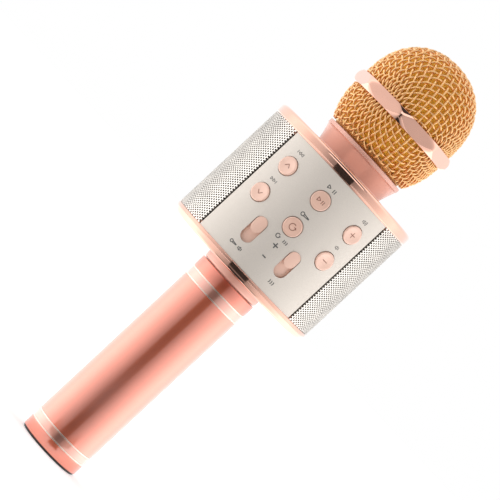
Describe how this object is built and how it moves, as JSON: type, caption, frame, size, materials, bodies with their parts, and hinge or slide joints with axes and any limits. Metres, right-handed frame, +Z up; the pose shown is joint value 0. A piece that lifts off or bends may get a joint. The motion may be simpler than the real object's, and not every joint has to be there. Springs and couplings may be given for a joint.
{
  "type": "karaoke microphone",
  "caption": "Handheld karaoke microphone with a round speaker drum, push buttons and sliders, a faceted ring round its domed mesh head, and a screwed handle cap.",
  "frame": {"origin": "centre of the end cap's underside, where the microphone stands", "axes": "+Z up the handle to the grille head; -Y out of the control panel; +X to the right of someone who faces the panel"},
  "size_m": [0.0824, 0.0824, 0.25],
  "materials": {
    "anodised_rose": "satin rose-gold anodising with bright-cut grooves",
    "plated_rose": "mirror-bright rose-gold plating on plastic",
    "satin_rose": "satin rose-gold plating on plastic",
    "button_rose": "rose-gold plating with engraved pictograms",
    "panel_silver": "satin champagne-silver paint with printed pictograms",
    "grille_steel": "perforated steel, silver",
    "mesh_rose": "woven crimped wire, rose-gold plated",
    "foam_gold": "open-cell foam, golden yellow",
    "black_plastic": "fine grain",
    "inner_plastic": "moulded, unseen",
    "switch_plastic": "moulded",
    "board_green": "solder-masked circuit board",
    "socket_steel": "tin-plated steel",
    "fastener_steel": "zinc-plated steel",
    "spring_steel": "nickel-plated spring wire",
    "brass": "turned",
    "cell_wrap": "shrink-wrapped steel can",
    "magnet_iron": "ferrite and plated iron",
    "cone_paper": "pressed paper",
    "rubber": "matt",
    "capsule_metal": "spun can with felt front",
    "lamp_lens": "frosted translucent"
  },
  "bodies": {
    "microphone": {"battery_cell": "cell_wrap", "battery_sleeve": "inner_plastic", "battery_top_contact": "brass", "handle_tube": "anodised_rose", "handle_collar": "satin_rose", "bottom_end_cap": "plated_rose", "top_end_cap": "plated_rose", "front_panel": "panel_silver", "rear_panel": "panel_silver", "speaker_grille_left": "grille_steel", "speaker_grille_right": "grille_steel", "chassis": "inner_plastic", "chassis_screws": "fastener_steel", "lock_nuts": "brass", "key_switches": "switch_plastic", "key_boards": "board_green", "front_board": "board_green", "slide_controls": "switch_plastic", "speaker_frame_left": "fastener_steel", "speaker_frame_right": "fastener_steel", "speaker_magnets": "magnet_iron", "speaker_surrounds": "rubber", "speaker_screws": "fastener_steel", "main_board": "board_green", "board_components": "switch_plastic", "usb_socket": "socket_steel", "card_socket": "socket_steel", "charge_socket": "socket_steel", "aux_jack": "black_plastic", "status_lamp": "lamp_lens", "power_switch": "switch_plastic", "neck_collar": "satin_rose", "capsule_cradle": "inner_plastic", "capsule_boot": "rubber", "mic_capsule": "capsule_metal"},
    "foam_liner": {"foam_liner": "foam_gold"},
    "grille_head": {"grille_dome": "mesh_rose", "grille_ring": "plated_rose", "grille_basket": "mesh_rose", "grille_thread_ring": "brass"},
    "battery_contact": {"battery_contact_plate": "brass", "battery_spring": "spring_steel"},
    "end_cap": {"end_cap": "black_plastic"},
    "button_previous": {"button_previous": "button_rose", "plunger_previous": "black_plastic"},
    "button_next": {"button_next": "button_rose", "plunger_next": "black_plastic"},
    "button_play": {"button_play": "button_rose", "plunger_play": "black_plastic"},
    "button_replay": {"button_replay": "button_rose", "plunger_replay": "black_plastic"},
    "button_volume_up": {"button_volume_up": "button_rose", "plunger_volume_up": "black_plastic"},
    "button_volume_down": {"button_volume_down": "button_rose", "plunger_volume_down": "black_plastic"},
    "slider_volume": {"slider_knob_volume": "button_rose"},
    "slider_echo": {"slider_knob_echo": "button_rose"},
    "power_knob": {"power_knob": "black_plastic"},
    "speaker_cone_left": {"speaker_cone_left": "cone_paper"},
    "speaker_cone_right": {"speaker_cone_right": "cone_paper"}
  },
  "joints": [
    {"name": "grille_lift", "type": "slide", "parent": "microphone", "child": "foam_liner", "axis": [0, 0, 1], "range_m": [0, 0.00501]},
    {"name": "grille_unscrew", "type": "hinge", "parent": "foam_liner", "child": "grille_head", "pos_m": [0, 0, 0.1977], "axis": [0, 0, 1], "range_deg": [0, 1200]},
    {"name": "cap_lower", "type": "slide", "parent": "microphone", "child": "battery_contact", "axis": [0, 0, -1], "range_m": [0, 0.00526]},
    {"name": "cap_unscrew", "type": "hinge", "parent": "battery_contact", "child": "end_cap", "pos_m": [0, 0, 0.004], "axis": [0, 0, -1], "range_deg": [0, 1260]},
    {"name": "press_previous", "type": "slide", "parent": "microphone", "child": "button_previous", "axis": [0.5045, 0.8634, 0], "range_m": [0, 0.0005], "stiffness_N_per_m": 3000},
    {"name": "press_next", "type": "slide", "parent": "microphone", "child": "button_next", "axis": [0.5045, 0.8634, 0], "range_m": [0, 0.0005], "stiffness_N_per_m": 3000},
    {"name": "press_play", "type": "slide", "parent": "microphone", "child": "button_play", "axis": [0, 1, 0], "range_m": [0, 0.0005], "stiffness_N_per_m": 3000},
    {"name": "press_replay", "type": "slide", "parent": "microphone", "child": "button_replay", "axis": [0, 1, 0], "range_m": [0, 0.0005], "stiffness_N_per_m": 3000},
    {"name": "press_volume_up", "type": "slide", "parent": "microphone", "child": "button_volume_up", "axis": [-0.5045, 0.8634, 0], "range_m": [0, 0.0005], "stiffness_N_per_m": 3000},
    {"name": "press_volume_down", "type": "slide", "parent": "microphone", "child": "button_volume_down", "axis": [-0.5045, 0.8634, 0], "range_m": [0, 0.0005], "stiffness_N_per_m": 3000},
    {"name": "slide_volume", "type": "slide", "parent": "microphone", "child": "slider_volume", "axis": [0, 0, -1], "range_m": [0, 0.0059]},
    {"name": "slide_echo", "type": "slide", "parent": "microphone", "child": "slider_echo", "axis": [0, 0, -1], "range_m": [0, 0.0059]},
    {"name": "slide_power", "type": "slide", "parent": "microphone", "child": "power_knob", "axis": [-1, 0, 0], "range_m": [0, 0.003]},
    {"name": "cone_left", "type": "slide", "parent": "microphone", "child": "speaker_cone_left", "axis": [-1, 0, 0], "range_m": [-0.001, 0.001], "stiffness_N_per_m": 1500},
    {"name": "cone_right", "type": "slide", "parent": "microphone", "child": "speaker_cone_right", "axis": [1, 0, 0], "range_m": [-0.001, 0.001], "stiffness_N_per_m": 1500}
  ],
  "couplings": [
    {"joint": "grille_lift", "follows": "grille_unscrew", "m_per_rad": 0.00023873},
    {"joint": "cap_lower", "follows": "cap_unscrew", "m_per_rad": 0.00023873}
  ]
}
